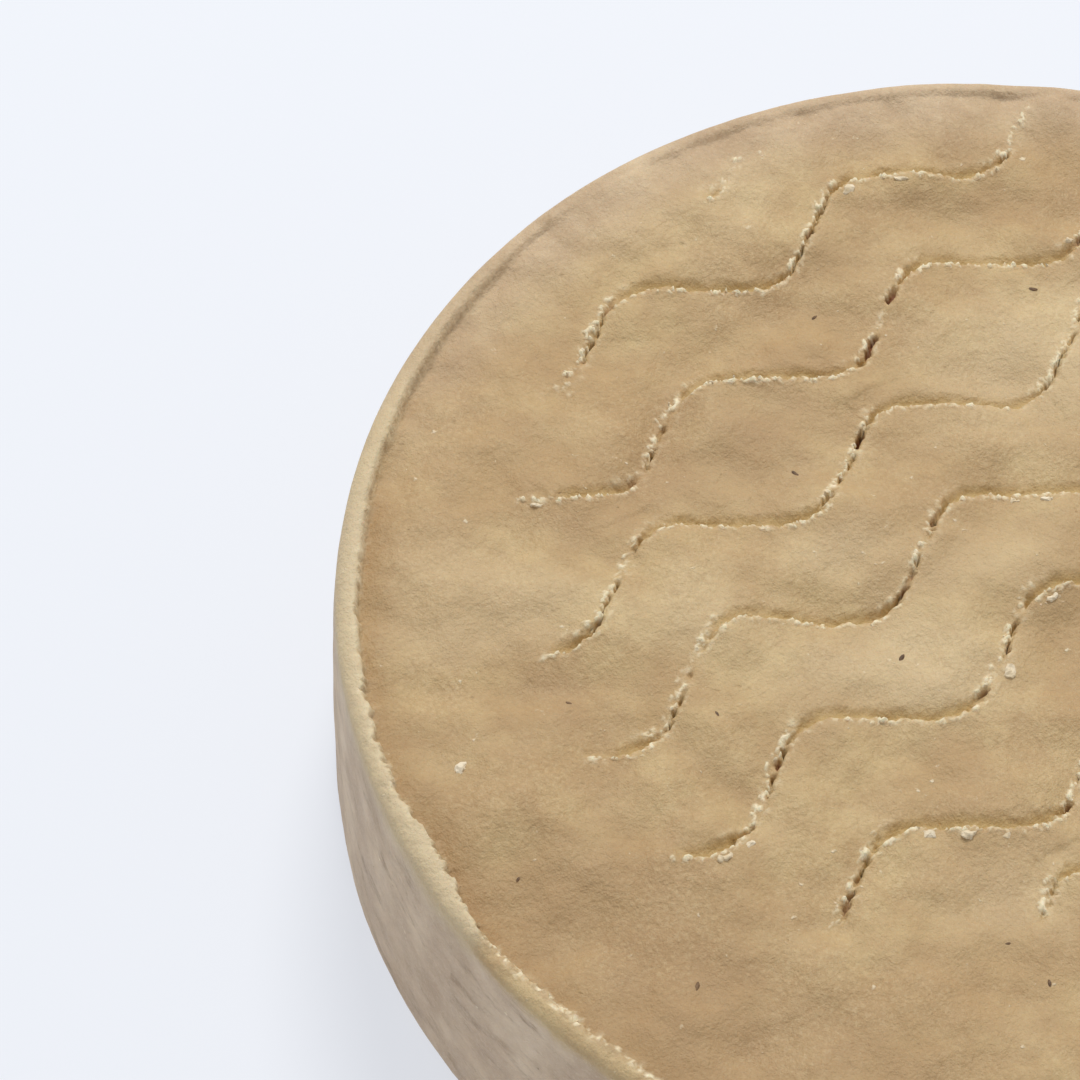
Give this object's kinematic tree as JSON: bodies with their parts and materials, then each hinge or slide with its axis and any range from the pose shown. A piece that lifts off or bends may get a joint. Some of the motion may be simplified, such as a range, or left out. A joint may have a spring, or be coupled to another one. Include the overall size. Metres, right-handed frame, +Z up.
{
  "type": "shaving soap puck",
  "caption": "Round cake of hard shaving soap with a raised rim and rows of wavy grooves pressed into its lathering face.",
  "frame": {"origin": "centre of the flat underside", "axes": "+Z up out of the grooved face, +X along the rows of waves, +Y across the rows towards the far one"},
  "size_m": [0.0764, 0.0764, 0.0165],
  "materials": {
    "soap": "waxy, fine grained",
    "crumb": "dry, crumbly",
    "fleck": "dull"
  },
  "bodies": {
    "root": {"soap_puck": "soap", "groove_crumbs": "crumb", "dark_flecks": "fleck"}
  },
  "joints": []
}
